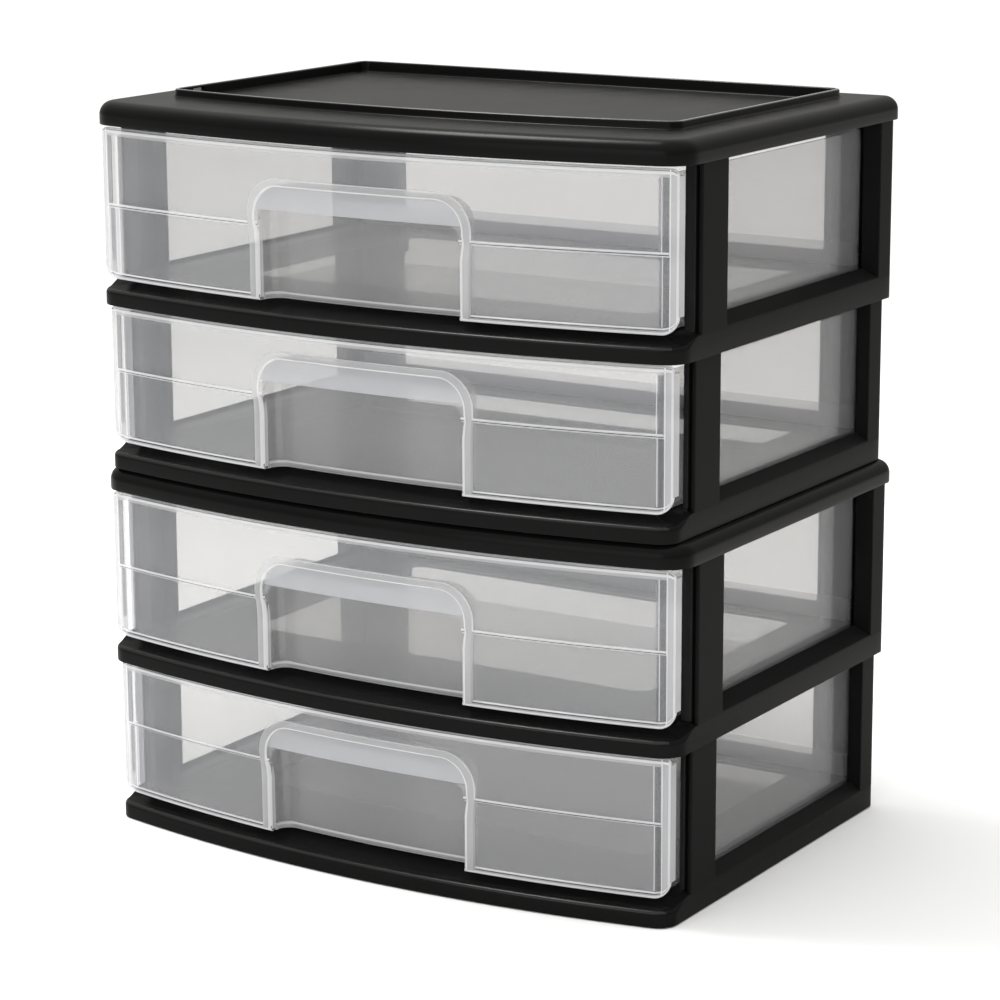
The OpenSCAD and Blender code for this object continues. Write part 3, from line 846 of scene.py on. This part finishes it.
for i, z in enumerate(TIER_Z, 1):
    kind = "low" if i in (1, 3) else "high"
    body = "lower_unit" if i < 3 else "upper_unit"
    place(f"shelf_{i}_moulding", low_shelf if kind == "low" else high_shelf, z, body, f"shelf_{i}", "shelf_plastic", SHELF_MAT, LIP_EDGE_MAT)
    place(f"left_side_frame_{i}_moulding", sides[kind, -1], z, body, f"left_side_frame_{i}", "frame_plastic", FRAME_MAT, STILE_PAINTED_LIGHT_MAT)
    place(f"right_side_frame_{i}_moulding", sides[kind, 1], z, body, f"right_side_frame_{i}", "frame_plastic", FRAME_MAT, STILE_PAINTED_LIGHT_MAT)
    place(f"back_frame_{i}_moulding", backs[kind], z, body, f"back_frame_{i}", "frame_plastic", FRAME_MAT)
    place(f"drawer_{i}_tub", drawers[kind], z, f"drawer_{i}", f"drawer_{i}", "drawer_plastic", CLEAR_MAT, BAND_MAT, LINE_HIGHLIGHT_MAT, TUB_MAT, LIP_MAT, SHADE_MAT, FOOT_MAT, FLOOR_MAT, SIDE_SHADE_MAT, STRIP_SHADE_MAT)
place("lower_lid_moulding", lid_mesh, LID_Z[0], "lower_unit", "lower_lid", "lid_plastic", LID_MAT, LID_EDGE_MAT)
place("upper_lid_moulding", lid_mesh, LID_Z[1], "upper_unit", "upper_lid", "lid_plastic", LID_MAT, LID_EDGE_MAT)

# ---------------------------------------------------------------- floor, lights, camera
fm, nt, out = node_material("floor_pale")
p = nt.nodes.new("ShaderNodeBsdfPrincipled")
p.inputs["Roughness"].default_value = 0.9
p.inputs["Specular IOR Level"].default_value = 0.1
tc = nt.nodes.new("ShaderNodeTexCoord")
mixc = nt.nodes.new("ShaderNodeMix")
mixc.data_type = "RGBA"
mixc.inputs[6].default_value = (0.915, 0.915, 0.91, 1)
mixc.inputs[7].default_value = (0.935, 0.935, 0.93, 1)
nt.links.new(noise(nt, tc.outputs["Object"], 2.0, 2.0), mixc.inputs[0])
nt.links.new(mixc.outputs[2], p.inputs["Base Color"])
nt.links.new(p.outputs[0], out.inputs["Surface"])
fb = bmesh.new()
bmesh.ops.create_grid(fb, x_segments=8, y_segments=8, size=12)
fme = bpy.data.meshes.new("floor")
fb.to_mesh(fme)
fb.free()
floor = new_object("floor", fme)
floor.location.z = -0.0005
fme.materials.append(fm)

world = bpy.data.worlds.new("studio")
scene.world = world
world.use_nodes = True
wn = world.node_tree
wn.nodes.clear()
wo = wn.nodes.new("ShaderNodeOutputWorld")
bg = wn.nodes.new("ShaderNodeBackground")
wt = wn.nodes.new("ShaderNodeTexCoord")
sep = wn.nodes.new("ShaderNodeSeparateXYZ")
wn.links.new(wt.outputs["Generated"], sep.inputs[0])
up2 = wn.nodes.new("ShaderNodeMath")
up2.operation = "POWER"
up2.inputs[1].default_value = 2.0
clampz = wn.nodes.new("ShaderNodeMath")
clampz.operation = "MAXIMUM"
clampz.inputs[1].default_value = 0.0
wn.links.new(sep.outputs["Z"], clampz.inputs[0])
wn.links.new(clampz.outputs[0], up2.inputs[0])
lev = wn.nodes.new("ShaderNodeMath")
lev.operation = "MULTIPLY_ADD"
lev.inputs[1].default_value = 1.3
lev.inputs[2].default_value = 0.52
wn.links.new(up2.outputs[0], lev.inputs[0])
wn.links.new(lev.outputs[0], bg.inputs["Strength"])
bg.inputs["Color"].default_value = (1.0, 0.995, 0.985, 1)
wn.links.new(bg.outputs[0], wo.inputs[0])


def area(name, loc, target, sx, sy, power):
    l = bpy.data.lights.new(name, "AREA")
    l.shape = "RECTANGLE"
    l.size, l.size_y, l.energy = sx, sy, power
    o = bpy.data.objects.new(name, l)
    o.location = loc
    o.rotation_euler = (Vector(target) - Vector(loc)).to_track_quat("-Z", "Y").to_euler()
    scene.collection.objects.link(o)
    return o


area("key_top_left", (-0.57, -0.13, 1.75), (0, -0.13, 0.25), 0.62, 0.42, 25)
area("front_soft", (0.0, -2.2, 0.9), (0, 0, 0.2), 1.8, 1.2, 10)

cam_data = bpy.data.cameras.new("camera")
cam_data.sensor_width = 36.0
cam_data.lens = 118.8
cam_data.clip_start, cam_data.clip_end = 0.05, 60
cam = bpy.data.objects.new("camera", cam_data)
scene.collection.objects.link(cam)
yaw, pitch, roll = math.radians(-32.16), math.radians(13.05), math.radians(-0.23)
fwd = Vector((math.sin(yaw) * math.cos(pitch), math.cos(yaw) * math.cos(pitch), -math.sin(pitch)))
q = fwd.to_track_quat("-Z", "Y")
cam.rotation_mode = "QUATERNION"
cam.rotation_quaternion = q @ Euler((0, 0, roll)).to_quaternion()
cam.location = (0.9477, -1.4970, 0.5915)
scene.camera = cam

scene.view_settings.view_transform = "Standard"
scene.view_settings.look = "None"
scene.cycles.transparent_max_bounces = 40
scene.cycles.max_bounces = 14
